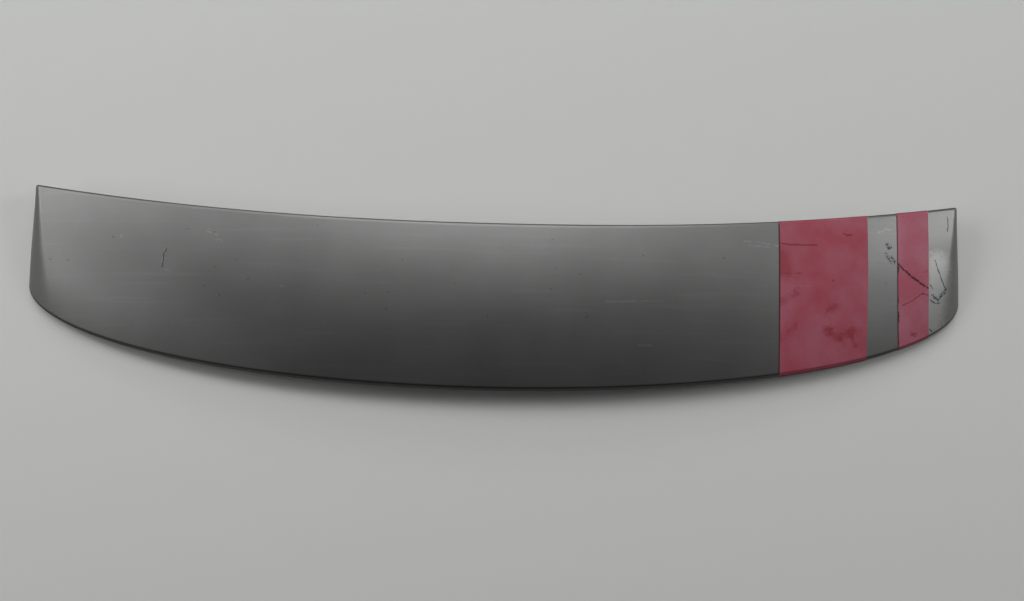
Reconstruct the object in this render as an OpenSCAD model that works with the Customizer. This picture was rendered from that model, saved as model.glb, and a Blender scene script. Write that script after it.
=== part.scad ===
// Rear roof spoiler of a small hatchback: a painted outer skin bonded over a moulded inner panel.
// X runs across the car, +Y points forward to the leading edge and +Z is up.
// The origin is under the middle of the part, on the plane of the two end rims that it rests on.

/* [Outline] */
// Overall width across the car
spoiler_w = 1120; // [1040:10:1200]
// How far each front corner lies inside the widest point
corner_inset = 8; // [4:1:11]
// Radius of the front corners in plan
corner_r = 6; // [4:0.5:8]
// Length of each end, from the front corner to the start of the rear curve
end_len = 106; // [96:1:120]
// Depth of the rear curve behind the ends
rear_depth = 125; // [112:1:138]
// How far the middle of the leading edge sits behind its corners
lead_sag = 42; // [34:1:50]
// Power of the leading edge's curve
lead_pow = 2.2; // [2:0.1:2.6]

/* [Skin form] */
// Height of the skin at the rear corners
corner_h = 9; // [8:0.5:12]
// Crown across the car, middle to ends
crown_h = 30; // [24:1:36]
// Fall of the skin from the leading edge to the trailing edge
fall_h = 36; // [32:1:42]
// Share of that fall that is an even slope
fall_even = 0.25; // [0.1:0.05:0.5]
// Power of the rest of the fall
fall_pow = 2.2; // [1.8:0.1:2.8]
// Width of the end roll at the front corners
roll_front = 13; // [9:0.5:16]
// Width of the end roll at the rear corners
roll_rear = 35; // [29:1:42]
// How early the end roll widens
roll_pow = 1.6; // [1.2:0.1:2.4]

/* [Skin wall] */
// Wall of the outer skin
wall = 3; // [2.5:0.1:3.4]
// Radius of the leading edge
edge_r = 3.5; // [3.5:0.1:4.5]
// Height of the front flange
flange_h = 22; // [18:1:26]
// Length over which the front flange runs down to the end rims
flange_run = 70; // [50:5:90]
// Thickness of the trailing lip
lip_t = 6; // [5:0.2:6.6]
// Length over which the wall thickens to the lip
lip_run = 8; // [6:0.5:9]

/* [Inner panel] */
// Wall of the inner panel
tray_t = 3; // [2.5:0.1:3.2]
// Distance of the inner panel's long edges from the outline
tray_inset = 14; // [13:0.5:16]
// Distance of the inner panel's ends from the outline
tray_end = 22; // [20:0.5:26]
// Width of the bonding land round the inner panel
land_w = 10; // [8:1:12]
// Width of the slope between the land and the mounting face
ramp_w = 28; // [22:1:30]
// Depth of the mounting face below the leading edge
plateau_drop = 32; // [29:0.5:34]
// Fall of the mounting face from front to rear
plateau_fall = 8; // [4:1:10]
// Adhesive gap between the skin and the inner panel
bond_gap = 0.6; // [0.5:0.05:0.8]
// Thickness of the stiffening ribs
rib_t = 2; // [1.6:0.1:2.6]
// Depth of the stiffening ribs below the panel
rib_h = 4; // [2:0.5:5]
// Distance between neighbouring ribs
rib_pitch = 36; // [30:1:44]
// Ribs on each side of the middle
rib_count = 12; // [8:1:12]

/* [Studs] */
// Thread radius of the mounting studs
stud_r = 3; // [2.5:0.5:4]
// How much thicker than its thread a stud's shank is
shank_step = 0.4; // [0.3:0.1:0.6]
// Clearance round a stud's shank in its tower
stud_gap = 0.25; // [0.2:0.05:0.4]
// Free length of a stud below its tower
stud_len = 16; // [12:1:18]
// Distance of the inner studs from the middle
inner_stud_x = 130; // [100:5:150]
// Forward offset of the inner studs
inner_stud_y = -10; // [-16:1:0]
// Distance of the outer studs from the ends
outer_stud_end = 180; // [165:5:200]
// Forward offset of the outer studs
outer_stud_y = 8; // [0:1:14]
// Side of a stud's square head plate
plate_w = 16; // [12:1:18]
// Thickness of a stud's head plate
plate_t = 2.5; // [2:0.1:3]
// Radius of a stud tower
tower_r = 15; // [13:0.5:17]
// How far a tower's pad stands below the mounting face
pad_h = 6; // [5:0.5:7]
// Height of a tower over the mounting face, inside the part
tower_h = 6; // [4:0.5:7]
// Outer radius of a stud's push-on retainer
retainer_r = 7; // [6:0.5:8]
// Thickness of a push-on retainer
retainer_t = 0.8; // [0.5:0.1:1.2]
// Outer radius of a stud's foam seal
seal_r = 14; // [12:0.5:14.5]
// Thickness of a stud's foam seal
seal_t = 4; // [3:0.5:6]

/* [Clips, pegs and stops] */
// Distance of the outer push clips from the middle
clip_x = 250; // [225:5:290]
// Forward offset of the middle push clip
clip_mid_y = -4; // [-12:1:0]
// Forward offset of the outer push clips
clip_side_y = 2; // [-6:1:6]
// Stem radius of a push clip
clip_r = 2.5; // [2:0.1:3]
// Radius over a push clip's barbs
barb_r = 4; // [3.6:0.1:4.6]
// Barbs on a push clip
barb_count = 4; // [3:1:5]
// Distance between barbs
barb_pitch = 2.6; // [2:0.1:3]
// Distance of the locating pegs from the ends
peg_end = 108; // [102:1:122]
// Forward offset of the locating pegs
peg_y = 24; // [18:1:30]
// Radius of a locating peg
peg_r = 4; // [3:0.5:5]
// Free length of a locating peg
peg_len = 10; // [7:1:11]
// Distance of the rubber stops from the middle
stop_x = 60; // [50:2:70]
// Forward offset of the rubber stops
stop_y = -42; // [-48:1:-34]
// Radius of a rubber stop
stop_r = 9; // [7:0.5:11]
// Height of a rubber stop below its pad
stop_h = 6; // [4:0.5:8]
// Distance of the drain holes from the ends
drain_end = 128; // [122:1:134]
// Forward offset of the drain holes
drain_y = -10; // [-14:1:-4]
// Radius of the drain holes
drain_r = 3; // [2:0.5:4]
// Stem radius of pegs and stops
stem_r = 2.5; // [2:0.1:3]
// Clearance round a stem in its hole
stem_gap = 0.2; // [0.1:0.05:0.3]

/* [Seals, pads and tapes] */
// Distance of the front seal's ends from the part's ends
seal_end = 120; // [110:10:160]
// Width of the front seal
strip_w = 9; // [7:0.5:11]
// Thickness of the front seal
strip_t = 5; // [3:0.5:6]
// Seating gap of the glued-on strips
seat_gap = 0.3; // [0.2:0.05:0.4]
// Inner end of each adhesive tape
tape_x = 120; // [110:5:160]
// Length of each adhesive tape
tape_len = 220; // [150:10:240]
// Width of the adhesive tapes
tape_w = 12; // [8:1:14]
// Thickness of the adhesive tapes
tape_t = 1.1; // [0.8:0.1:1.6]
// Distance of the end pads' inner edges from the ends
pad_end = 88; // [85:1:90]
// Forward offset of the end pads
pad_y = 24; // [20:1:28]
// Length of the end pads along the car's width
pad_len = 24; // [18:1:26]
// Width of the end pads
pad_w = 36; // [28:1:40]
// Thickness of the end pads
pad_t = 4; // [3:0.5:6]

/* [Stripes] */
// Distance of the wide stripe's inner edge from the end, at the leading edge
wide_end = 242; // [230:2:256]
// Width of the wide stripe
wide_w = 109; // [91:2:119]
// How much farther out the wide stripe runs at the trailing edge
wide_lean = 5; // [2:1:9]
// Distance of the narrow stripe's inner edge from the end, at the leading edge
narrow_end = 96; // [92:1:104]
// Width of the narrow stripe
narrow_w = 40; // [30:1:44]
// How much farther out the narrow stripe runs at the trailing edge
narrow_lean = 9; // [4:1:12]
// Power of the stripes' run towards the ends
stripe_pow = 2.8; // [1:0.2:3.2]
// Thickness of the stripes' film
film_t = 0.2; // [0.1:0.05:0.3]
// Adhesive gap under the stripes' film
film_gap = 0.1; // [0.08:0.02:0.16]

/* [Hidden] */

half_w = spoiler_w / 2;
front_half = half_w - corner_inset;
front_h = corner_h + crown_h + fall_h;
// Stations across each half, closer together towards the ends
half_stations = 26;
station_pow = 1.3;
angles = concat(
  [for (i = [0 : half_stations]) 180 - 90 * pow(i / half_stations, station_pow)],
  [for (i = [half_stations - 1 : -1 : 0]) 90 * pow(i / half_stations, station_pow)]
);
// Steps of the leading edge's arc, of the skin's length and of the lip's arc
edge_steps = 3;
skin_steps = 14;
lip_steps = 5;
row_pow = 1.2;
// Angle next to each end over which rows are kept apart, and their distance there
pinch_angle = 5;
pinch = 1.2;
fine = 48;

// Plain helpers
function clamp(k) = min(1, max(0, k));
function smooth(k) = let (c = clamp(k)) c * c * (3 - 2 * c);
function mix(a, b, k) = a + (b - a) * k;

// How far the leading edge lies behind a line across the car that touches its two sharp corners
function lead_back(x, d = 0) =
  let (r = max(1, corner_r - d), e = clamp((abs(x) - (front_half - d - r)) / r))
  lead_sag * (1 - pow(abs(x) / (front_half - d), lead_pow)) + r * (1 - sqrt(1 - e * e));
// What the rounded corners take off the depth, so that the origin stays in the middle
corner_steps = 60;
corner_loss = min([for (k = [0 : corner_steps]) lead_back(front_half - 2 * corner_r * k / corner_steps)]);
front_y = (end_len + rear_depth + corner_loss) / 2;

// Plan outline, inset by d
function lead_y(x, d = 0) = front_y - d - lead_back(x, d);
function rear_y(x, d = 0) =
  front_y - end_len - (rear_depth - d) * sqrt(max(0, 1 - pow(x / (half_w - d), 2)));
function edge_x(v, d = 0) = half_w - d - corner_inset * (1 - sin(90 * v));
function v_at(x, y) = clamp((lead_y(x) - y) / (lead_y(x) - rear_y(x)));

// Height of the skin over (x, y) without its end rolls
function crown(x) = crown_h * pow(x / half_w, 2);
function fall(v) = fall_h * (fall_even * v + (1 - fall_even) * pow(v, fall_pow));
function field_z(x, y) = front_h - crown(x) - fall(v_at(x, y));

// The ends roll down on a quarter ellipse that widens towards the rear
function roll_w(v) = mix(roll_front, roll_rear, 1 - pow(1 - v, roll_pow));
function roll_at(x, y, d) =
  let (v = v_at(x, y), w = max(1, roll_w(v) - d), e = clamp((edge_x(v, d) - abs(x)) / w))
  sqrt(1 - pow(1 - e, 2));
function skin_z(x, y, d = 0, t = 0) = roll_at(x, y, d) * (field_z(x, y) - t);

// Lower edge of the front flange, which runs down to the rims at both ends
function flange_z(x, d) =
  let (e = clamp((edge_x(0, d) - abs(x)) / flange_run))
  (1 - pow(1 - e, 2)) * (front_h - crown(x) - flange_h);

function apart(a) = pinch * max(0, 1 - min(a, 180 - a) / pinch_angle);

// One section of the outer skin at station angle a, from the flange round to the lip.
// d is how far the surface lies inside the outline and r the radius of its leading edge.
function front_rows(a, d, r) =
  let (x = edge_x(0, d) * cos(a), y0 = lead_y(x, d))
  concat(
    [[x, y0, flange_z(x, d)]],
    [for (k = [0 : edge_steps])
      let (q = 90 * k / edge_steps, y = y0 - r * (1 - cos(q)) - (k + 1) * apart(a))
      [x, y, roll_at(x, y, d) * (field_z(x, y) - d - r * (1 - sin(q)))]]
  );
function field_rows(a, d, r, lip) =
  [for (j = [1 : skin_steps])
    let (
      s = pow(j / skin_steps, row_pow),
      x = edge_x(s, d) * cos(a),
      y0 = lead_y(x, d) - r - (edge_steps + 1) * apart(a),
      y1 = rear_y(x, d) + lip * sin(a) + (lip_steps + 1) * apart(a),
      y2 = y1 + (lip_run - lip) * sin(a),
      y = j < skin_steps ? mix(y0, y2, pow(j / (skin_steps - 1), row_pow)) : y1,
      t = d == 0 ? 0 : j < skin_steps ? wall : lip_t
    )
    [x, y, skin_z(x, y, d, t)]];
function lip_rows(a) =
  [for (k = [1 : lip_steps])
    let (
      q = 180 * k / (lip_steps + 1),
      x = half_w * cos(a),
      y = rear_y(x) + lip_t / 2 * (1 - sin(q)) * sin(a) + (lip_steps - k) * apart(a)
    )
    [x, y, roll_at(x, y, 0) * (field_z(x, y) - lip_t / 2 * (1 - cos(q)))]];
// The inner side repeats its last row's place so that both sides have the same rows
function inner_lip_rows(a, last) =
  [for (k = [1 : lip_steps])
    let (x = (half_w - wall) * cos(a), y0 = rear_y(x, wall) + (lip_steps - k) * apart(a))
    [x, mix(last[1], y0, k / lip_steps), roll_at(x, y0, wall) * (field_z(x, y0) - lip_t)]];

function skin_section(a) = concat(
  front_rows(a, 0, edge_r), field_rows(a, 0, edge_r, lip_t / 2), lip_rows(a)
);
function inner_section(a) =
  let (rows = concat(front_rows(a, wall, edge_r - wall), field_rows(a, wall, edge_r - wall, lip_t)))
  concat(rows, inner_lip_rows(a, rows[len(rows) - 1]));

// Inner panel: its land follows the skin, and inside it drops to the mounting face
function plateau_z(x, y) = front_h - plateau_drop - crown(x) - plateau_fall * v_at(x, y);
function drop_at(x, y) =
  let (
    ends = edge_x(v_at(x, y), tray_end) - abs(x),
    front = lead_y(x, tray_inset) - y,
    rear = y - rear_y(x, tray_inset)
  )
  smooth((ends - land_w) / ramp_w) * smooth((front - land_w) / ramp_w)
    * smooth((rear - land_w) / ramp_w);
function tray_z(x, y) = mix(
  skin_z(x, y, wall, wall) - bond_gap - tray_t, plateau_z(x, y), drop_at(x, y)
);
// Row places across the panel: the land and slope at each side, then the mounting face
ramp_steps = 4;
face_steps = 4;
function tray_rows(x) =
  let (y0 = lead_y(x, tray_inset), y1 = rear_y(x, tray_inset), reach = land_w + ramp_w)
  concat(
    [y0],
    [for (k = [0 : ramp_steps]) y0 - land_w - ramp_w * k / ramp_steps],
    [for (k = [1 : face_steps - 1]) mix(y0 - reach, y1 + reach, k / face_steps)],
    [for (k = [ramp_steps : -1 : 0]) y1 + land_w + ramp_w * k / ramp_steps],
    [y1]
  );
function tray_section(a, lift) =
  let (x = (half_w - corner_inset / 2 - tray_end) * cos(a))
  [for (y = tray_rows(x)) [x, y, tray_z(x, y) + lift]];

// A closed sheet between two grids of points with the same rows and columns.
// Its quads are cut along mirrored diagonals to the left and right of the middle column.
module sheet(top, bottom) {
  n = len(top);
  m = len(top[0]);
  nm = n * m;
  points = concat([for (c = top) for (p = c) p], [for (c = bottom) for (p = c) p]);
  skins = [for (i = [0 : n - 2]) for (j = [0 : m - 2])
    let (
      k = i * m + j,
      flip = 2 * i >= n - 1,
      up = flip ? [k + m, k + m + 1, k + 1, k] : [k, k + m, k + m + 1, k + 1]
    )
    each [up, [for (c = [0, 3, 2, 1]) up[c] + nm]]];
  rims = concat(
    [for (i = [0 : n - 2]) let (k = i * m) [k + m, k, k + nm, k + m + nm]],
    [for (i = [0 : n - 2]) let (k = i * m + m - 1) [k, k + m, k + m + nm, k + nm]],
    [for (k = [0 : m - 2]) [k, k + 1, k + 1 + nm, k + nm]],
    [for (j = [0 : m - 2]) let (k = nm - m + j) [k + 1, k, k + nm, k + 1 + nm]]
  );
  polyhedron(points, [for (q = concat(skins, rims)) each [[q[0], q[1], q[2]], [q[0], q[2], q[3]]]]);
}

module upper_shell() {
  color("slategray")
  sheet([for (a = angles) skin_section(a)], [for (a = angles) inner_section(a)]);
}

// Stud places, and the level of each tower's pad
function stud_places() = [
  for (s = [-1, 1])
    each [[s * inner_stud_x, inner_stud_y], [s * (half_w - outer_stud_end), outer_stud_y]]
];
function clip_places() = [[-clip_x, clip_side_y], [0, clip_mid_y], [clip_x, clip_side_y]];
function peg_places() = [for (s = [-1, 1]) [s * (half_w - peg_end), peg_y]];
function drain_places() = [for (s = [-1, 1]) [s * (half_w - drain_end), drain_y]];
function stop_places() = [[-stop_x, stop_y], [stop_x, stop_y]];
function pad_z(p) = tray_z(p[0], p[1]) - pad_h;
boss_len = pad_h + tray_t + tower_h;
shank_r = stud_r + shank_step;
small_boss_r = 9;
stop_edge = 1.5;
seal_edge = 1;
grip_gap = 0.05;
head_r = 4.5;
head_t = 1.2;
collar_r = 6.5;
collar_t = 1.5;
strip_step = 22;

// A moulded boss that stands through the panel at p
module boss(p, r) {
  translate([p[0], p[1], pad_z(p)]) cylinder(r = r, h = boss_len, $fn = fine);
}
module bore(p, r) {
  translate([p[0], p[1], pad_z(p) - 1]) cylinder(r = r, h = boss_len + 2, $fn = fine);
}

// Paths of the strips under the mounting face: the seal along its front edge, the tapes along its rear
strip_margin = 1;
function seal_y(x) = lead_y(x, tray_inset) - land_w - ramp_w - strip_w / 2 - strip_margin;
function tape_y(x) = rear_y(x, tray_inset) + land_w + ramp_w + tape_w / 2 + strip_margin;

// One rib under the mounting face, between the seal and the tapes, with sloping ends
rib_slope = 0.1;
module rib(x) {
  y0 = seal_y(x) - strip_w / 2 - strip_margin;
  y1 = tape_y(x) + tape_w / 2 + strip_margin;
  places = [[y0, 0], [mix(y0, y1, rib_slope), rib_h], [mix(y1, y0, rib_slope), rib_h], [y1, 0]];
  low = [for (p = places) [-p[0], tray_z(x, p[0]) - p[1]]];
  high = [for (k = [3 : -1 : 0]) [-places[k][0], tray_z(x, places[k][0]) + tray_t / 2]];
  translate([x + rib_t / 2, 0, 0])
  rotate([90, 0, -90])
  linear_extrude(rib_t)
  polygon(concat(low, high));
}

module lower_shell() {
  color("dimgray")
  difference() {
    union() {
      sheet(
        [for (a = angles) tray_section(a, tray_t)],
        [for (a = angles) tray_section(a, 0)]
      );
      for (s = [-1, 1], k = [0 : rib_count - 1]) rib(s * rib_pitch * (k + 0.5));
      for (p = stud_places()) boss(p, tower_r);
      for (p = concat(clip_places(), peg_places())) boss(p, small_boss_r);
      for (p = stop_places()) boss(p, stop_r + stop_edge);
    }
    for (p = stud_places()) bore(p, shank_r + stud_gap);
    for (p = concat(clip_places(), peg_places(), stop_places())) bore(p, stem_r + stem_gap);
    for (p = drain_places()) bore(p, drain_r);
  }
}

// One column of film at height h over the skin, round the leading edge's arc, over the field and round
// the lip's outer half. x0 is its place at the leading edge.
stripe_steps = 24;
stripe_columns = 8;
// The lip's arc in plan, which grows shallower towards the ends
function lip_in(x) = lip_t / 2 * sqrt(1 - pow(x / half_w, 2));
function film_column(x0, lean, h) = concat(
  [for (k = [1 : edge_steps - 1])
    let (q = 90 * k / edge_steps, y = lead_y(x0) - edge_r * (1 - cos(q)))
    [x0, y + h * cos(q), skin_z(x0, y) - edge_r * (1 - sin(q)) + h * sin(q)]],
  [for (j = [0 : stripe_steps])
    let (
      s = j / stripe_steps,
      x = x0 + lean * pow(s, stripe_pow),
      y = mix(lead_y(x) - edge_r, rear_y(x) + lip_in(x), s)
    )
    [x, y, skin_z(x, y) + h]],
  [for (k = [1 : (lip_steps + 1) / 2])
    let (q = 180 * k / (lip_steps + 1), x = x0 + lean, y = rear_y(x) + lip_in(x) * (1 - sin(q)))
    [x, y - h * sin(q), skin_z(x, y) - lip_t / 2 * (1 - cos(q)) + h * cos(q)]]
);
module stripe(x0, w, lean) {
  places = [for (i = [0 : stripe_columns]) x0 + w * i / stripe_columns];
  sheet(
    [for (x = places) film_column(x, lean, film_gap + film_t)],
    [for (x = places) film_column(x, lean, film_gap)]
  );
}
module wide_stripe() {
  color("firebrick") stripe(half_w - wide_end, wide_w, wide_lean);
}
module narrow_stripe() {
  color("firebrick") stripe(half_w - narrow_end, narrow_w, narrow_lean);
}

// Steel studs whose square head plates sit on the towers inside the part.
// The shank ends just below the retainer, and the thread runs on to a chamfered tip.
shank_out = 2 * retainer_t + seat_gap;
tip_len = stud_r / 3;
module mounting_studs() {
  color("silver")
  for (p = stud_places())
    translate([p[0], p[1], pad_z(p)]) {
      rotate_extrude($fn = fine)
      polygon([
        [0, boss_len + plate_t / 2], [shank_r, boss_len + plate_t / 2], [shank_r, -shank_out],
        [stud_r, -shank_out], [stud_r, -stud_len + tip_len], [stud_r - tip_len, -stud_len],
        [0, -stud_len]
      ]);
      translate([-plate_w / 2, -plate_w / 2, boss_len]) cube([plate_w, plate_w, plate_t]);
    }
}

// Dished steel rings pushed up the studs against the pads, which keep the studs in their towers
module stud_retainers() {
  grip = shank_r + grip_gap;
  dish = (shank_r + retainer_r) / 2;
  color("gainsboro")
  for (p = stud_places())
    translate([p[0], p[1], pad_z(p)])
    rotate_extrude($fn = fine)
    polygon([
      [grip, -2 * retainer_t], [grip, -retainer_t], [dish, 0], [retainer_r, 0],
      [retainer_r, -retainer_t], [dish, -retainer_t]
    ]);
}

// Foam rings on the pads, round the retainers
module stud_seals() {
  color("black")
  for (p = stud_places())
    translate([p[0], p[1], pad_z(p)])
    rotate_extrude($fn = fine)
    polygon([
      [retainer_r + seat_gap, 0], [seal_r, 0], [seal_r, -seal_t + seal_edge],
      [seal_r - seal_edge, -seal_t], [retainer_r + seat_gap, -seal_t]
    ]);
}

// What is pushed into a boss: a head inside the part, a stem through the hole, then its own outline
module pushed_in(p, outline) {
  translate([p[0], p[1], pad_z(p)])
  rotate_extrude($fn = fine)
  polygon(concat(
    [[0, boss_len + head_t], [head_r - head_t, boss_len + head_t], [head_r, boss_len],
     [stem_r, boss_len], [stem_r, 0]],
    outline
  ));
}

// Fir-tree clips: a collar under the pad and a row of barbs
barb_start = 0.5;
barb_top = 0.2;
barb_foot = 0.8;
module push_clips() {
  barbs = [for (k = [0 : barb_count - 1])
    let (z = -collar_t - barb_pitch * (k + barb_start))
    each [[clip_r, z], [barb_r, z - barb_pitch * barb_top], [clip_r, z - barb_pitch * barb_foot]]];
  tip = -collar_t - barb_pitch * (barb_count + barb_start) - clip_r / 3;
  color("whitesmoke")
  for (p = clip_places())
    pushed_in(p, concat(
      [[collar_r, 0], [collar_r, -collar_t], [clip_r, -collar_t]],
      barbs,
      [[clip_r, tip + clip_r], [clip_r / 3, tip], [0, tip]]
    ));
}

// Tapered pegs that place the part sideways
module locating_pegs() {
  color("ivory")
  for (p = peg_places())
    pushed_in(p, [
      [collar_r, 0], [collar_r, -collar_t], [peg_r, -collar_t], [peg_r, -peg_len + peg_r / 2],
      [peg_r / 2, -peg_len], [0, -peg_len]
    ]);
}

// Rubber stops that bear on the tailgate
module rubber_stops() {
  color("black")
  for (p = stop_places())
    pushed_in(p, [
      [stop_r, 0], [stop_r, -stop_h + stop_edge], [stop_r - stop_edge, -stop_h], [0, -stop_h]
    ]);
}

// A strip that follows the mounting face at height t below it, along x from x0 to x1.
// The places of its long edges are y_mid(x) plus and minus half of w.
module strip(x0, x1, w, t, y_mid) {
  steps = ceil(abs(x1 - x0) / strip_step);
  top = [for (i = [0 : steps])
    [for (side = [0.5, 0, -0.5])
      let (x = mix(x0, x1, i / steps), y = y_mid(x) + side * w)
      [x, y, tray_z(x, y) - seat_gap]]];
  sheet(top, [for (c = top) [for (p = c) p - [0, 0, t]]]);
}

module front_seal() {
  run = half_w - seal_end;
  color("black") strip(-run, run, strip_w, strip_t, function (x) seal_y(x));
}
module left_tape() {
  color("dimgray")
  strip(-tape_x - tape_len, -tape_x, tape_w, tape_t, function (x) tape_y(x));
}
module right_tape() {
  color("dimgray") strip(tape_x, tape_x + tape_len, tape_w, tape_t, function (x) tape_y(x));
}
module left_end_pad() {
  color("black") strip(pad_end - half_w - pad_len, pad_end - half_w, pad_w, pad_t, function (x) pad_y);
}
module right_end_pad() {
  color("black") strip(half_w - pad_end, half_w - pad_end + pad_len, pad_w, pad_t, function (x) pad_y);
}

upper_shell();
lower_shell();
wide_stripe();
narrow_stripe();
mounting_studs();
stud_retainers();
stud_seals();
push_clips();
locating_pegs();
rubber_stops();
front_seal();
left_tape();
right_tape();
left_end_pad();
right_end_pad();
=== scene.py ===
"""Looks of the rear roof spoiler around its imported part, in metres and in the part's own frame."""

import math

import bpy
import numpy as np
from mathutils import Matrix, Vector


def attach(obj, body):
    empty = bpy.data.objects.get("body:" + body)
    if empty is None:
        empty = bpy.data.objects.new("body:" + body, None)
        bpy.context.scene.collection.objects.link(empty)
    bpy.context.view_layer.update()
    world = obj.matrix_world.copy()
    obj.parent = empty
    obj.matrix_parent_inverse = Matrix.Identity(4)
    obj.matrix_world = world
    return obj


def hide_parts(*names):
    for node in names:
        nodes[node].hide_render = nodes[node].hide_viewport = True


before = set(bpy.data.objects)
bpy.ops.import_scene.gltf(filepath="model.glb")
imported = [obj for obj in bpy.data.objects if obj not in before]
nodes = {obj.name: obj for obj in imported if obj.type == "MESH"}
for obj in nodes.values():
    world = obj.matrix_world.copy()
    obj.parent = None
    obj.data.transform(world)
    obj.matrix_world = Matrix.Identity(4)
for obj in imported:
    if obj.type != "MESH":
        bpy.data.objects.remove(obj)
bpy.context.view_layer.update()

# Sizes of the part, the same as in its source
HALF_W = 0.56
CORNER_INSET = 0.008
CORNER_R = 0.006
END_LEN = 0.106
REAR_DEPTH = 0.125
LEAD_SAG = 0.042
LEAD_POW = 2.2
CORNER_H = 0.009
CROWN_H = 0.030
FALL_H = 0.036
FALL_EVEN = 0.25
FALL_POW = 2.2
ROLL_FRONT = 0.013
ROLL_REAR = 0.035
ROLL_POW = 1.6
WALL = 0.003
EDGE_R = 0.0035
FLANGE_H = 0.022
FLANGE_RUN = 0.070
LIP_T = 0.006
LIP_RUN = 0.008
WIDE_IN = HALF_W - 0.242
WIDE_W = 0.109
WIDE_LEAN = 0.005
NARROW_IN = HALF_W - 0.096
NARROW_W = 0.040
NARROW_LEAN = 0.009
STRIPE_POW = 2.8
FILM_T = 0.0002
FILM_GAP = 0.0001
# Steps of the films: round the arc of each edge, across and along
ARC_STEPS = 8
FILM_COLUMNS = 60
FILM_ROWS = 160
# Steps of the skin: stations along it, arc steps and rows of its outside and inside, rows of its lip
STATIONS = 401
STATION_POW = 1.35
OUTER_ARC, OUTER_ROWS = 8, 130
INNER_ARC, INNER_ROWS = 3, 44
LIP_ROWS = 8
# How far apart rows are kept at the ends, and the angle over which that fades
PINCH = 0.0002
PINCH_ANGLE = math.radians(3)
# The least radius and width that an inset leaves, and the least length that divides another
LEAST_R = 0.001
TINY = 1e-6
CORNER_STEPS = 60

FRONT_HALF = HALF_W - CORNER_INSET
FRONT_H = CORNER_H + CROWN_H + FALL_H


# The skin's form as a height field over (x, y)
def mix(a, b, k):
    return a + (b - a) * k


def lead_back(x, d=0.0):
    r = max(LEAST_R, CORNER_R - d)
    e = np.clip((np.abs(x) - (FRONT_HALF - d - r)) / r, 0, 1)
    return LEAD_SAG * (1 - (np.abs(x) / (FRONT_HALF - d)) ** LEAD_POW) + r * (1 - np.sqrt(1 - e * e))


CORNER_LOSS = min(
    lead_back(FRONT_HALF - 2 * CORNER_R * k / CORNER_STEPS) for k in range(CORNER_STEPS + 1)
)
FRONT_Y = (END_LEN + REAR_DEPTH + CORNER_LOSS) / 2


def lead_y(x, d=0.0):
    return FRONT_Y - d - lead_back(x, d)


def rear_y(x, d=0.0):
    rest = np.maximum(0, 1 - (x / (HALF_W - d)) ** 2)
    return FRONT_Y - END_LEN - (REAR_DEPTH - d) * np.sqrt(rest)


def edge_x(v, d=0.0):
    return HALF_W - d - CORNER_INSET * (1 - np.sin(v * math.pi / 2))


def v_at(x, y):
    return np.clip((lead_y(x) - y) / (lead_y(x) - rear_y(x)), 0, 1)


def field_z(x, y):
    v = v_at(x, y)
    fall = FALL_H * (FALL_EVEN * v + (1 - FALL_EVEN) * v**FALL_POW)
    return FRONT_H - CROWN_H * (x / HALF_W) ** 2 - fall


def roll_at(x, y, d=0.0):
    v = v_at(x, y)
    w = np.maximum(LEAST_R, mix(ROLL_FRONT, ROLL_REAR, 1 - (1 - v) ** ROLL_POW) - d)
    e = np.clip((edge_x(v, d) - np.abs(x)) / w, 0, 1)
    return np.sqrt(np.maximum(0, 1 - (1 - e) ** 2))


def skin_z(x, y, d=0.0, t=0.0):
    return roll_at(x, y, d) * (field_z(x, y) - t)


def flange_z(x, d):
    e = np.clip((edge_x(0, d) - np.abs(x)) / FLANGE_RUN, 0, 1)
    return (1 - (1 - e) ** 2) * (FRONT_H - CROWN_H * (x / HALF_W) ** 2 - FLANGE_H)


def lip_in(x):
    return LIP_T / 2 * np.sqrt(1 - (x / HALF_W) ** 2)


def make_mesh(name, points, faces):
    mesh = bpy.data.meshes.new(name)
    mesh.from_pydata(points, [], faces)
    mesh.validate()
    mesh.shade_smooth()
    piece = bpy.data.objects.new(name, mesh)
    bpy.context.scene.collection.objects.link(piece)
    return piece


def grid_faces(n, m, start, turn):
    """Faces of a grid of n by m points whose first point has the index start, turned over or not."""
    faces = []
    for i in range(n - 1):
        for j in range(m - 1):
            k = start + i * m + j
            quad = (k, k + m, k + m + 1, k + 1)
            faces.append(quad[::-1] if turn else quad)
    return faces


def apart(a):
    return PINCH * max(0.0, 1 - min(a, math.pi - a) / PINCH_ANGLE)


def side_rows(a, d, r, lip, t, arcs, rows):
    """A side of the skin at station angle a, from its flange over the top to its lip.

    It lies d inside the outline and t under the top, and turns over the leading edge with radius r.
    """
    c, s = math.cos(a), math.sin(a)
    pinch = apart(a)
    x = edge_x(0.0, d) * c
    y0 = lead_y(x, d)
    points = [(x, y0, flange_z(x, d))]
    for k in range(arcs + 1):
        q = math.pi / 2 * k / arcs
        y = y0 - r * (1 - math.cos(q)) - (k + 1) * pinch
        points.append((x, y, roll_at(x, y, d) * (field_z(x, y) - d - r * (1 - math.sin(q)))))
    for j in range(1, rows + 1):
        u = j / rows
        x = edge_x(u, d) * c
        front = lead_y(x, d) - r - (arcs + 1) * pinch
        rear = rear_y(x, d) + lip * s + LIP_ROWS * pinch
        y = mix(front, rear, u)
        near_lip = np.clip(1 - (y - rear) / max(LIP_RUN * s, TINY), 0, 1)
        thick = t if t == 0 else mix(t, LIP_T, near_lip)
        points.append((x, y, skin_z(x, y, d, thick)))
    return points


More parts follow.
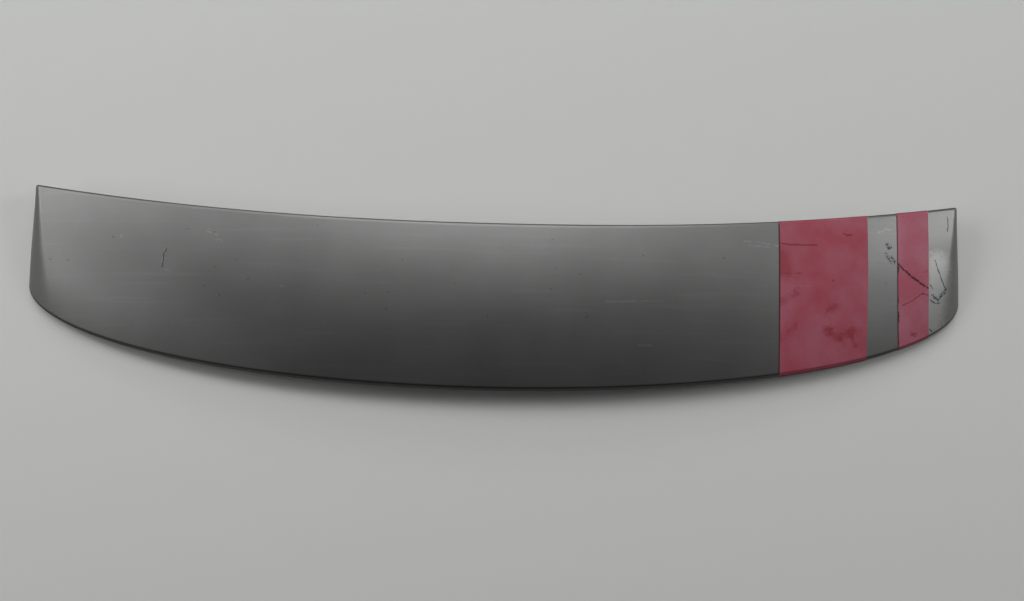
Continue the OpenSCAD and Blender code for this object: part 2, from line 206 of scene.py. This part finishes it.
def skin_ring(a):
    """The skin's closed section at station angle a: its outside, its lip and its inside."""
    c, s = math.cos(a), math.sin(a)
    ring = side_rows(a, 0.0, EDGE_R, LIP_T / 2, 0.0, OUTER_ARC, OUTER_ROWS)
    for k in range(1, LIP_ROWS + 1):
        q = math.pi * k / (LIP_ROWS + 1)
        x = HALF_W * c
        y = rear_y(x) + LIP_T / 2 * (1 - math.sin(q)) * s + (LIP_ROWS - k) * apart(a)
        ring.append((x, y, roll_at(x, y) * (field_z(x, y) - LIP_T / 2 * (1 - math.cos(q)))))
    return ring + side_rows(a, WALL, EDGE_R - WALL, 0.0, WALL, INNER_ARC, INNER_ROWS)[::-1]


def make_skin():
    rings = []
    for u in np.linspace(-1, 1, STATIONS):
        off_middle = math.pi / 2 * (1 - (1 - abs(u)) ** STATION_POW)
        rings.append(skin_ring(math.pi / 2 - math.copysign(off_middle, u)))
    m = len(rings[0])
    points = [p for ring in rings for p in ring]
    faces = []
    for i in range(STATIONS - 1):
        for j in range(m):
            k = (j + 1) % m
            faces.append((i * m + j, i * m + k, (i + 1) * m + k, (i + 1) * m + j))
    piece = make_mesh("painted_skin", points, faces)
    # The flange's two lower edges run along the ring's first and last rows
    for edge in piece.data.edges:
        a, b = edge.vertices
        if a % m in (0, m - 1) and b % m == a % m:
            edge.use_edge_sharp = True
    return piece


# A stripe's column at height h over the skin, from the rounding of the leading edge, over the top and
# half way round the lip
def film_column(x0, lean, h):
    column = []
    for k in range(1, ARC_STEPS):
        q = math.pi / 2 * k / ARC_STEPS
        y = lead_y(x0) - EDGE_R * (1 - math.cos(q)) + h * math.cos(q)
        z = skin_z(x0, y) - EDGE_R * (1 - math.sin(q)) + h * math.sin(q)
        column.append((x0, y, z))
    for j in range(FILM_ROWS + 1):
        s = j / FILM_ROWS
        x = x0 + lean * s**STRIPE_POW
        y = mix(lead_y(x) - EDGE_R, rear_y(x) + lip_in(x), s)
        column.append((x, y, skin_z(x, y) + h))
    x = x0 + lean
    for k in range(1, ARC_STEPS + 1):
        q = math.pi / 2 * k / ARC_STEPS
        y = rear_y(x) + lip_in(x) * (1 - math.sin(q))
        z = skin_z(x, y) - LIP_T / 2 * (1 - math.cos(q))
        column.append((x, y - h * math.sin(q), z + h * math.cos(q)))
    return column


def make_film(name, x0, width, lean):
    top, under = [], []
    for i in range(FILM_COLUMNS + 1):
        x = x0 + width * i / FILM_COLUMNS
        top += film_column(x, lean, FILM_GAP + FILM_T)
        under += film_column(x, lean, FILM_GAP)
    count = len(top)
    n = FILM_COLUMNS + 1
    m = count // n
    faces = grid_faces(n, m, 0, turn=True) + grid_faces(n, m, count, turn=False)
    for i in range(n - 1):
        for k, out in ((i * m, False), (i * m + m - 1, True)):
            quad = (k, k + m, k + m + count, k + count)
            faces.append(quad if out else quad[::-1])
    for j in range(m - 1):
        for k, out in ((j, True), (count - m + j, False)):
            quad = (k, k + 1, k + 1 + count, k + count)
            faces.append(quad if out else quad[::-1])
    return make_mesh(name, top + under, faces)


skin = make_skin()
wide_film = make_film("wide_film", WIDE_IN, WIDE_W, WIDE_LEAN)
narrow_film = make_film("narrow_film", NARROW_IN, NARROW_W, NARROW_LEAN)
for piece, node, slot in (
    (skin, "upper_shell", "grey_paint"),
    (wide_film, "wide_stripe", "red_film"),
    (narrow_film, "narrow_stripe", "red_film"),
):
    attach(piece, "root")
    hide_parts(node)


# Materials
MM_PER_M = 1000
UP, FORWARD, BACK = (0.0, 0.0, 1.0), (0.0, 1.0, 0.0), (0.0, -1.0, 0.0)
# The noise that makes drawn lines wander
SHAKE_SCALE = 260
SHAKE_MIDDLE = (0.5, 0.5, 0.5)
# A mark is full over this share of its width, shows in patches between these noise values, and fades
# out where the surface stops facing up
MARK_CORE = 0.3
PATCH_LOW, PATCH_HIGH = 0.38, 0.54
FACING_UP = 0.1
# A painted shadow line along the rear lip: its distance in front of the lip's middle, half its width,
# how far it reaches and its strength
GROOVE_SHADE_AT, GROOVE_SHADE_CORE, GROOVE_SHADE_REACH, GROOVE_SHADE_DARK = 0.0008, 0.0005, 0.0014, 0.85
# Where the painted shade on the lip starts and is full, in front of its middle
LIP_SHADE_START, LIP_SHADE_FULL = 0.003, 0.002
# How the painted shade over the edges grows with the way the surface faces: from, to, least and most
LIP_SHADE_TURN = (0.35, 0.75, 0.25, 0.85)
EDGE_SHADE_TURN = (0.45, 0.75, 0.0, 0.8)
EDGE_SHADE_END = (0.97, 0.93)


def srgb(*levels):
    """A colour from its levels on the screen, each 0 to 255."""
    parts = [level / 255 for level in levels]
    return tuple(c / 12.92 if c <= 0.04045 else ((c + 0.055) / 1.055) ** 2.4 for c in parts) + (1.0,)


def darker(color, share):
    return tuple(c * share for c in color[:3]) + (1.0,)


class Tree:
    """Short calls that add nodes to a node tree and link them."""

    def __init__(self, tree):
        self.tree = tree

    def put(self, socket, value):
        if isinstance(value, bpy.types.NodeSocket):
            self.tree.links.new(value, socket)
        else:
            socket.default_value = value

    def node(self, kind, **values):
        node = self.tree.nodes.new(kind)
        for key, value in values.items():
            setattr(node, key, value)
        return node

    def math(self, operation, a, b=0.0):
        node = self.node("ShaderNodeMath", operation=operation)
        self.put(node.inputs[0], a)
        self.put(node.inputs[1], b)
        return node.outputs[0]

    def vector(self, operation, a, b=(0.0, 0.0, 0.0), out="Vector"):
        node = self.node("ShaderNodeVectorMath", operation=operation)
        self.put(node.inputs[0], a)
        self.put(node.inputs["Scale" if operation == "SCALE" else 1], b)
        return node.outputs[out]

    def span(self, value, low, high, low_out=0.0, high_out=1.0):
        """The value's range from low to high, mapped to low_out and high_out and held beyond them."""
        node = self.node("ShaderNodeMapRange", clamp=True)
        keys = ("Value", "From Min", "From Max", "To Min", "To Max")
        for key, number in zip(keys, (value, low, high, low_out, high_out)):
            self.put(node.inputs[key], number)
        return node.outputs[0]

    def blend(self, factor, a, b):
        node = self.node("ShaderNodeMix", data_type="RGBA")
        self.put(node.inputs["Factor"], factor)
        self.put(node.inputs["A"], a)
        self.put(node.inputs["B"], b)
        return node.outputs["Result"]


class Finish(Tree):
    """A material and the calls that draw on it. Lengths in it are metres."""

    def __init__(self, name, color, rough, metallic=0.0):
        self.mat = bpy.data.materials.new(name)
        self.mat.use_nodes = True
        super().__init__(self.mat.node_tree)
        self.shader = self.tree.nodes["Principled BSDF"]
        self.shader.inputs["Base Color"].default_value = color
        self.shader.inputs["Roughness"].default_value = rough
        self.shader.inputs["Metallic"].default_value = metallic
        source = self.node("ShaderNodeTexCoord")
        self.place, self.facing = source.outputs["Object"], source.outputs["Normal"]

    def noise(self, scale, detail=3.0, at=None, color=False):
        node = self.node("ShaderNodeTexNoise")
        node.inputs["Scale"].default_value = scale
        node.inputs["Detail"].default_value = detail
        self.put(node.inputs["Vector"], at or self.place)
        return node.outputs["Color" if color else "Fac"]

    def bump(self, height, strength, distance):
        node = self.node("ShaderNodeBump")
        node.inputs["Strength"].default_value = strength
        node.inputs["Distance"].default_value = distance
        self.put(node.inputs["Height"], height)
        self.put(self.shader.inputs["Normal"], node.outputs["Normal"])

    def turned(self, way):
        """How far the surface faces a way, from -1 to 1."""
        return self.vector("DOT_PRODUCT", self.facing, way, out="Value")

    def flat_place(self, ragged):
        """The place seen from above, shaken by noise so that lines drawn on it wander."""
        shake = self.noise(SHAKE_SCALE, detail=2.0, color=True)
        shake = self.vector("SUBTRACT", shake, SHAKE_MIDDLE)
        moved = self.vector("ADD", self.place, self.vector("SCALE", shake, ragged))
        return self.vector("MULTIPLY", moved, (1.0, 1.0, 0.0))

    def nearest(self, place, lines, dots):
        """How far the place is from the nearest line or dot. Their points are (x, y) in millimetres."""
        near = None
        pairs = [(a, b) for line in lines for a, b in zip(line, line[1:])]
        pairs += [(dot, dot) for dot in dots]
        for a, b in pairs:
            start = Vector((a[0], a[1], 0)) / MM_PER_M
            run = Vector((b[0], b[1], 0)) / MM_PER_M - start
            off = self.vector("SUBTRACT", place, tuple(start))
            if run.length > 0:
                share = self.vector("DOT_PRODUCT", off, tuple(run / run.length_squared), out="Value")
                share = self.math("MINIMUM", self.math("MAXIMUM", share), 1.0)
                off = self.vector("SUBTRACT", off, self.vector("SCALE", tuple(run), share))
            gap = self.vector("LENGTH", off, out="Value")
            near = gap if near is None else self.math("MINIMUM", near, gap)
        return near

    def wear_and_highlight(self, color, rows):
        """The colour with rows of wear, or of painted highlight, on it, on what faces up."""
        places = {shake: self.flat_place(shake) for shake in sorted({row[3] for row in rows})}
        upward = self.span(self.turned(UP), 0.0, FACING_UP)
        for tone, width, strength, shake, patch, lines, dots in rows:
            near = self.nearest(places[shake], lines, dots)
            cover = self.span(near, width * MARK_CORE, width, strength, 0.0)
            cover = self.math("MULTIPLY", upward, cover)
            if patch:
                patches = self.span(self.noise(patch), PATCH_LOW, PATCH_HIGH)
                cover = self.math("MULTIPLY", cover, patches)
            color = self.blend(cover, color, tone)
        return color

    def painted_edge_shade(self, color, tone):
        """The colour with painted shade: darker over the leading edge's turn, a painted shadow line along
        the rear lip, and darker on the lip where it faces back.
        """
        split = self.node("ShaderNodeSeparateXYZ")
        self.put(split.inputs[0], self.place)
        share = self.math("DIVIDE", split.outputs["X"], HALF_W)
        rest = self.math("SUBTRACT", 1.0, self.math("MULTIPLY", share, share))
        bow = self.math("SQRT", self.math("MAXIMUM", rest, 0.0))
        reach = self.math("MULTIPLY", bow, REAR_DEPTH - LIP_T / 2)
        lip_line = self.math("SUBTRACT", FRONT_Y - END_LEN, reach)
        ahead = self.math("SUBTRACT", split.outputs["Y"], lip_line)
        # A painted shadow line along the rear lip
        off_groove = self.math("ABSOLUTE", self.math("SUBTRACT", ahead, GROOVE_SHADE_AT))
        groove_shade = self.span(off_groove, GROOVE_SHADE_CORE, GROOVE_SHADE_REACH, GROOVE_SHADE_DARK, 0.0)
        # Painted shade on the lip where it faces back
        on_lip = self.span(ahead, LIP_SHADE_START, LIP_SHADE_FULL)
        lip = self.math("MULTIPLY", on_lip, self.span(self.turned(BACK), *LIP_SHADE_TURN))
        # Painted shade over the leading edge's turn, where it faces forward
        front = self.turned(FORWARD)
        edge = self.math("MULTIPLY", self.span(front, *EDGE_SHADE_TURN), self.span(front, *EDGE_SHADE_END))
        dark = self.math("MAXIMUM", self.math("MAXIMUM", lip, groove_shade), edge)
        return self.blend(dark, color, tone)


# Wear, as lines and dots on the skin seen from above, in millimetres
FAINT_LINES = (
    ((-340, 59), (-333, 57), (-327, 54)),
    ((-329, 50), (-323, 50)),
    ((-386, 16), (-380, 13)),
    ((276, 61), (295, 60), (317, 57)),
    ((281, 57), (306, 55)),
    ((440, 78), (446, 80), (450, 83), (456, 82)),
    ((-439, 55), (-440, 50)),
    ((-255, -2), (-250, -2)),
    ((114, -13), (146, -12), (179, -11)),
    ((153, -61), (169, -61)),
    ((-388, 38), (-391, 24)),
)
FAINT_DOTS = ((-145, 17), (-203, -41), (-448, 74), (-354, 56), (-338, 62), (-323, 47))
SCRATCHES = (
    ((-386, 39), (-389, 34), (-390, 19)),
    ((513, 49), (518, 37), (523, 27), (528, 18)),
    ((510, 3), (513, 1), (518, -1), (523, 0)),
    ((516, 5), (522, 4), (525, 8)),
    ((509, 20), (512, 15)),
    ((529, 101), (530, 94), (529, 84)),
    ((513, -31), (517, -33)),
)
SCUFFS = (
    ((451, 65), (453, 60), (456, 62)),
    ((450, 53), (452, 50)),
    ((453, 48), (456, 44)),
    ((457, 50), (461, 43)),
    ((512, 8), (520, 3)),
    ((523, 8), (528, 12), (529, 16)),
)
DARK_DOTS = (
    (-533, -17), (-524, -30), (-523, 28), (-519, -34), (-515, -39), (-501, 27), (-477, -54), (-470, -58),
    (-448, 53), (-363, 62), (-346, 22), (-341, -2), (-332, 59), (-330, 19), (-324, -12), (-305, 27),
    (-292, 5), (-215, 67), (-159, -9), (-135, -26), (-133, -8), (-118, 29), (-58, 4), (-20, -33),
    (51, -1), (52, 56), (57, 23), (84, 17), (93, -31), (157, 40), (197, -12), (251, 40),
    (450, 19), (520, -34),
)
RESIDUE = (((508, 58), (509, 30), (511, 0)),)
# A painted highlight: a paler patch over the right end, standing in for the lights' reflection there
PAINTED_END_HIGHLIGHT = (((518, 42), (518, 12), (517, -6), (516, -24)),)
WIDE_SMEARS = (
    ((320, -7), (331, -3), (340, 5), (346, 10)),
    ((379, -17), (386, -11), (390, -7)),
    ((323, -49), (339, -34)),
)
WIDE_STAINS = (
    ((380, -38), (397, -40), (417, -39)),
    ((393, -44), (397, -51)),
    ((414, -41), (417, -51)),
)
WIDE_SCRAPE = (((321, 11), (358, 12)),)
WIDE_HAIR = (((322, 25), (345, 26)),)
WIDE_LINES = (((321, 60), (330, 59), (351, 59), (364, 60)), ((397, 75), (401, 73), (407, 74)))
RUBBED = (((321, 44), (324, 30)),)
NARROW_SCRATCH = (((466, 42), (471, 37), (479, 31), (488, 25), (497, 20), (506, 16)),)
NARROW_SMEAR = (((490, -37), (494, -39)),)
NARROW_HAIRS = (
    ((506, 8), (498, 10), (485, 0), (472, -6)),
    ((507, 12), (507, 2)),
    ((503, 36), (499, 34)),
)
SIDE_CHIPS = (
    ((465, 38), (465, 33)),
    ((466, 2), (467, -2)),
    ((468, -15), (469, -24)),
    ((470, -39), (470, -42)),
    ((471, -47), (471, -55)),
)


def stripe_side(x0, lean, steps=6):
    """A stripe's left side from front to back, as a line in millimetres."""
    line = []
    for k in range(steps + 1):
        s = k / steps
        x = x0 + lean * s**STRIPE_POW
        y = mix(lead_y(x) - EDGE_R, rear_y(x) + lip_in(x), s)
        line.append((float(x) * MM_PER_M, float(y) * MM_PER_M))
    return tuple(line)


WIDE_SIDE = (stripe_side(WIDE_IN, WIDE_LEAN),)
NARROW_SIDE = (stripe_side(NARROW_IN, NARROW_LEAN),)

# Rows of wear and of painted highlight: tone, width to each side, strength, shake, scale of the patches,
# lines, dots
PAINT_WEAR_AND_HIGHLIGHT = (
    ((0.40, 0.40, 0.39, 1), 0.0013, 0.22, 0.003, 160, FAINT_LINES, FAINT_DOTS),
    # Painted highlight: a paler patch over the right end
    ((0.34, 0.35, 0.345, 1), 0.0220, 0.80, 0.012, None, PAINTED_END_HIGHLIGHT, ()),
    ((0.36, 0.33, 0.33, 1), 0.0034, 0.35, 0.003, 60, RESIDUE, ()),
    ((0.03, 0.035, 0.036, 1), 0.0010, 0.85, 0.003, None, SCRATCHES, DARK_DOTS),
    ((0.02, 0.02, 0.02, 1), 0.0026, 0.90, 0.003, 420, SCUFFS, ()),
    ((0.02, 0.016, 0.018, 1), 0.0010, 0.80, 0.0, None, WIDE_SIDE + NARROW_SIDE, ()),
)
WIDE_WEAR = (
    (srgb(124, 38, 48), 0.0150, 0.55, 0.012, None, RUBBED, ()),
    (srgb(126, 38, 50), 0.0062, 0.60, 0.012, 60, WIDE_SMEARS, ()),
    (srgb(122, 34, 44), 0.0085, 0.75, 0.012, 60, WIDE_STAINS, ()),
    (srgb(168, 92, 104), 0.0008, 0.40, 0.003, 200, WIDE_SCRAPE, ()),
    (srgb(96, 20, 30), 0.0009, 0.60, 0.003, 200, WIDE_HAIR, ()),
    (srgb(100, 16, 28), 0.0014, 0.80, 0.003, None, WIDE_LINES, ((384, 19),)),
    (srgb(50, 14, 20), 0.0012, 0.85, 0.0, None, WIDE_SIDE, ()),
)
NARROW_WEAR = (
    (srgb(112, 32, 46), 0.0030, 0.70, 0.012, None, NARROW_SMEAR, ()),
    (srgb(100, 22, 34), 0.0009, 0.75, 0.003, None, NARROW_HAIRS, ((498, 4),)),
    (srgb(62, 8, 20), 0.0010, 0.90, 0.003, None, NARROW_SCRATCH, ()),
    (srgb(46, 4, 14), 0.0019, 0.95, 0.003, 330, NARROW_SCRATCH, ((499, 9),)),
    (srgb(70, 18, 26), 0.0010, 0.80, 0.0, None, NARROW_SIDE, ()),
    (srgb(30, 10, 14), 0.0022, 0.95, 0.003, None, SIDE_CHIPS, ()),
)

# The paint: its tone and how much of it each colour has, its roughness and how much that changes, its
# cloudy light and dark shares, the tones that are drawn on it, and the tone of the painted shade over its
# edges
PAINT_TONE = 0.168
PAINT_TINT = (0.992, 1.0, 0.984)
PAINT_ROUGH, ROUGH_CHANGE = 0.42, 0.008
PAINT_METALLIC = 0.95
CLOUD_LIGHT, CLOUD_DARK = 1.04, 0.96
STREAK_TONE = (0.30, 0.31, 0.30, 1)
STREAK_STRETCH = (6.0, 160.0, 1.0)
FLECK_TONE = (0.11, 0.115, 0.112, 1)
# The painted shade over the leading edge and the rear lip
EDGE_SHADE_TONE = (0.02, 0.02, 0.02, 1)


def make_paint():
    paint = Finish("satin_paint", (PAINT_TONE, PAINT_TONE, PAINT_TONE, 1), PAINT_ROUGH, PAINT_METALLIC)
    cloud = paint.noise(scale=14, detail=5.0)
    dark, light = (
        tuple(PAINT_TONE * share * tint for tint in PAINT_TINT) + (1.0,)
        for share in (CLOUD_DARK, CLOUD_LIGHT)
    )
    color = paint.blend(paint.span(cloud, low=0.35, high=0.65), dark, light)
    drawn = paint.vector("MULTIPLY", paint.place, STREAK_STRETCH)
    streak = paint.noise(scale=1.0, detail=4.0, at=drawn)
    streak = paint.span(streak, low=0.56, high=0.74, high_out=0.12)
    color = paint.blend(streak, color, STREAK_TONE)
    fleck = paint.noise(scale=620, detail=2.0)
    fleck = paint.span(fleck, low=0.62, high=0.74, high_out=0.5)
    color = paint.blend(fleck, color, FLECK_TONE)
    # Wear, and a painted highlight on the right end
    color = paint.wear_and_highlight(color, PAINT_WEAR_AND_HIGHLIGHT)
    # Painted shade over the leading edge, and a painted shadow along and on the rear lip
    color = paint.painted_edge_shade(color, EDGE_SHADE_TONE)
    paint.put(paint.shader.inputs["Base Color"], color)
    smoother, rougher = PAINT_ROUGH - ROUGH_CHANGE, PAINT_ROUGH + ROUGH_CHANGE
    rough = paint.span(cloud, low=0.3, high=0.7, low_out=smoother, high_out=rougher)
    paint.put(paint.shader.inputs["Roughness"], rough)
    paint.bump(paint.noise(scale=420), strength=0.05, distance=0.0002)
    return paint.mat


# The films: roughness, specular level, the tone of their flecks, and the painted shade over their edges
RED_ROUGH = 0.6
RED_SPECULAR = 0.3
RED_FLECK = srgb(116, 44, 56)
# The painted shade where the films wrap the leading edge and the rear lip
RED_EDGE_SHADE = srgb(84, 14, 26)


def make_red(name, red, haze, rows):
    film = Finish(name, red, RED_ROUGH)
    film.shader.inputs["Specular IOR Level"].default_value = RED_SPECULAR
    cloud = film.noise(scale=26, detail=5.0)
    color = film.blend(film.span(cloud, low=0.36, high=0.62), red, haze)
    fleck = film.noise(scale=700, detail=2.0)
    fleck = film.span(fleck, low=0.60, high=0.72, high_out=0.35)
    color = film.blend(fleck, color, RED_FLECK)
    color = film.wear_and_highlight(color, rows)
    # Painted shade over the leading edge, and a painted shadow along and on the rear lip
    color = film.painted_edge_shade(color, RED_EDGE_SHADE)
    film.put(film.shader.inputs["Base Color"], color)
    film.bump(film.noise(scale=520), strength=0.10, distance=0.0002)
    return film.mat


def make_plain(name, color, rough, metallic, grain, bump):
    """Two tones of one colour, and a fine bump if one is given."""
    plain = Finish(name, color, rough, metallic)
    scale, dark = grain
    tone = plain.blend(plain.noise(scale, detail=4.0), color, darker(color, dark))
    plain.put(plain.shader.inputs["Base Color"], tone)
    if bump:
        scale, strength, depth = bump
        plain.bump(plain.noise(scale), strength, depth)
    return plain.mat


# Plain finishes: colour, roughness, metallic, grain as its scale and darker share, and bump as its scale,
# strength and depth
PLAIN = {
    "panel_plastic": ((0.018, 0.018, 0.019, 1), 0.55, 0.0, (90, 0.8), (1400, 0.25, 0.0002)),
    "zinc_steel": ((0.62, 0.61, 0.57, 1), 0.35, 1.0, (400, 0.85), None),
    "spring_steel": ((0.33, 0.33, 0.35, 1), 0.3, 1.0, (300, 0.8), None),
    "black_foam": ((0.012, 0.012, 0.013, 1), 0.95, 0.0, (500, 0.7), (900, 0.8, 0.0006)),
    "white_nylon": ((0.72, 0.71, 0.66, 1), 0.45, 0.0, (80, 0.95), None),
    "peg_plastic": ((0.78, 0.74, 0.60, 1), 0.5, 0.0, (120, 0.92), None),
    "black_rubber": ((0.016, 0.016, 0.016, 1), 0.75, 0.0, (200, 0.8), (700, 0.3, 0.0003)),
    "grey_tape": ((0.10, 0.10, 0.105, 1), 0.8, 0.0, (300, 0.85), (800, 0.3, 0.0002)),
}
# Films: red, haze and wear
RED = {
    "wide_red_film": (srgb(142, 58, 72), srgb(147, 78, 92), WIDE_WEAR),
    "narrow_red_film": (srgb(150, 74, 89), srgb(154, 92, 107), NARROW_WEAR),
}
finishes = {name: make_plain(name, *row) for name, row in PLAIN.items()}
finishes["satin_paint"] = make_paint()
for name, row in RED.items():
    finishes[name] = make_red(name, *row)

FINISH_OF_NODE = {
    "upper_shell": "satin_paint",
    "lower_shell": "panel_plastic",
    "wide_stripe": "wide_red_film",
    "narrow_stripe": "narrow_red_film",
    "mounting_studs": "zinc_steel",
    "stud_retainers": "spring_steel",
    "stud_seals": "black_foam",
    "push_clips": "white_nylon",
    "locating_pegs": "peg_plastic",
    "rubber_stops": "black_rubber",
    "front_seal": "black_foam",
    "left_tape": "grey_tape",
    "right_tape": "grey_tape",
    "left_end_pad": "black_foam",
    "right_end_pad": "black_foam",
}
for name, finish in FINISH_OF_NODE.items():
    mesh = nodes[name].data
    mesh.materials.clear()
    mesh.materials.append(finishes[finish])
skin.data.materials.append(finishes["satin_paint"])
wide_film.data.materials.append(finishes["wide_red_film"])
narrow_film.data.materials.append(finishes["narrow_red_film"])

# Floor and backdrop
FLOOR_TONE = srgb(190, 191, 188)
BACKDROP_TONE = srgb(188, 189, 187)
# Between these distances from the middle, the floor turns into the backdrop
FLOOR_NEAR, FLOOR_FAR = 0.85, 1.35
FLOOR_SIZE = 30
FLOOR_ROUGH = 0.9
FLOOR_SHADE = 0.985


def make_floor():
    cover = Finish("pale_floor", FLOOR_TONE, FLOOR_ROUGH)
    tone = cover.blend(cover.noise(scale=30, detail=4.0), FLOOR_TONE, darker(FLOOR_TONE, FLOOR_SHADE))
    cover.put(cover.shader.inputs["Base Color"], tone)
    path = cover.node("ShaderNodeLightPath")
    seen = cover.math("MAXIMUM", path.outputs["Is Camera Ray"], path.outputs["Is Glossy Ray"])
    far = cover.span(cover.vector("LENGTH", cover.place, out="Value"), FLOOR_NEAR, FLOOR_FAR)
    glow = cover.node("ShaderNodeEmission")
    glow.inputs["Color"].default_value = BACKDROP_TONE
    join = cover.node("ShaderNodeMixShader")
    cover.put(join.inputs[0], cover.math("MULTIPLY", far, seen))
    cover.put(join.inputs[1], cover.shader.outputs[0])
    cover.put(join.inputs[2], glow.outputs[0])
    cover.put(cover.tree.nodes["Material Output"].inputs["Surface"], join.outputs[0])
    return cover.mat


bpy.ops.mesh.primitive_plane_add(size=FLOOR_SIZE, location=(0, 0, 0))
floor = bpy.context.object
floor.name = "floor"
floor.data.materials.append(make_floor())

# Soft boxes at one distance that face the middle of the part: how far each leans to the right and forward
# in degrees, its width, depth and power
LIGHT_FAR = 3.08
LIGHTS = (
    ("overhead", 0, 2, 2.4, 0.8, 2.9),
    ("top", 0, 14, 1.4, 0.4, 6.5),
    ("key_high", 0, 22, 2.4, 0.6, 17.8),
    ("key", 0, 31.6, 2.4, 0.9, 17.0),
    ("front_high", 0, 45, 2.6, 0.5, 4.3),
    ("front", 0, 61, 3.0, 0.8, 17.2),
    ("left", -54.5, 12, 0.7, 1.0, 12.2),
    ("left_high", -46, 12, 0.7, 1.0, 1.0),
    ("left_back", -54.5, -20, 0.7, 1.0, 7.8),
    ("left_front", -46, 30, 0.7, 1.0, 14.8),
    ("right", 51, 12, 0.7, 1.0, 16.4),
    ("right_high", 46, 12, 0.7, 1.0, 1.4),
    ("right_back", 51, -20, 0.7, 1.0, 3.6),
)


def add_light(name, lean_right, lean_front, width, depth, power):
    toward = Vector((math.tan(math.radians(lean_right)), math.tan(math.radians(lean_front)), 1))
    light = bpy.data.lights.new(name, "AREA")
    light.shape = "RECTANGLE"
    light.size, light.size_y = width, depth
    light.energy = power
    lamp = bpy.data.objects.new(name, light)
    lamp.location = toward.normalized() * LIGHT_FAR
    lamp.rotation_mode = "QUATERNION"
    lamp.rotation_quaternion = (-toward).to_track_quat("-Z", "Y")
    bpy.context.scene.collection.objects.link(lamp)


for row in LIGHTS:
    add_light(*row)

# World: the pale backdrop for the camera and, near the horizon, for reflections, and hardly any light
WORLD = 0.01
HORIZON_LOW, HORIZON_HIGH = 0.30, 0.50


def make_world():
    world = bpy.data.worlds.new("studio")
    world.use_nodes = True
    studio = Tree(world.node_tree)
    background = studio.tree.nodes["Background"]
    background.inputs["Color"].default_value = BACKDROP_TONE
    path = studio.node("ShaderNodeLightPath")
    split = studio.node("ShaderNodeSeparateXYZ")
    studio.put(split.inputs[0], studio.node("ShaderNodeTexCoord").outputs["Generated"])
    low = studio.span(split.outputs["Z"], HORIZON_LOW, HORIZON_HIGH, 1.0, WORLD)
    reflected = studio.math("MULTIPLY", low, path.outputs["Is Glossy Ray"])
    seen = studio.math("MAXIMUM", reflected, path.outputs["Is Camera Ray"])
    studio.put(background.inputs["Strength"], studio.math("MAXIMUM", seen, WORLD))
    return world


bpy.context.scene.world = make_world()

# Camera: the photograph's width and focal length in pixels, and the camera's place and turns
PHOTO_WIDTH = 1024
FOCAL_PIXELS = 950
SENSOR_MM = 36
CAMERA_PLACE = (-0.0403, -0.2047, 1.1253)
TILT, PAN, ROLL = (math.radians(turn) for turn in (10.14, -2.69, 0.69))

camera_data = bpy.data.cameras.new("camera")
camera_data.sensor_width = SENSOR_MM
camera_data.lens = FOCAL_PIXELS * SENSOR_MM / PHOTO_WIDTH
camera = bpy.data.objects.new("camera", camera_data)
turns = Matrix.Rotation(ROLL, 4, "Z") @ Matrix.Rotation(PAN, 4, "Y") @ Matrix.Rotation(TILT, 4, "X")
camera.matrix_world = Matrix.Translation(CAMERA_PLACE) @ turns
bpy.context.scene.collection.objects.link(camera)
bpy.context.scene.camera = camera

bpy.context.scene.view_settings.view_transform = "Standard"
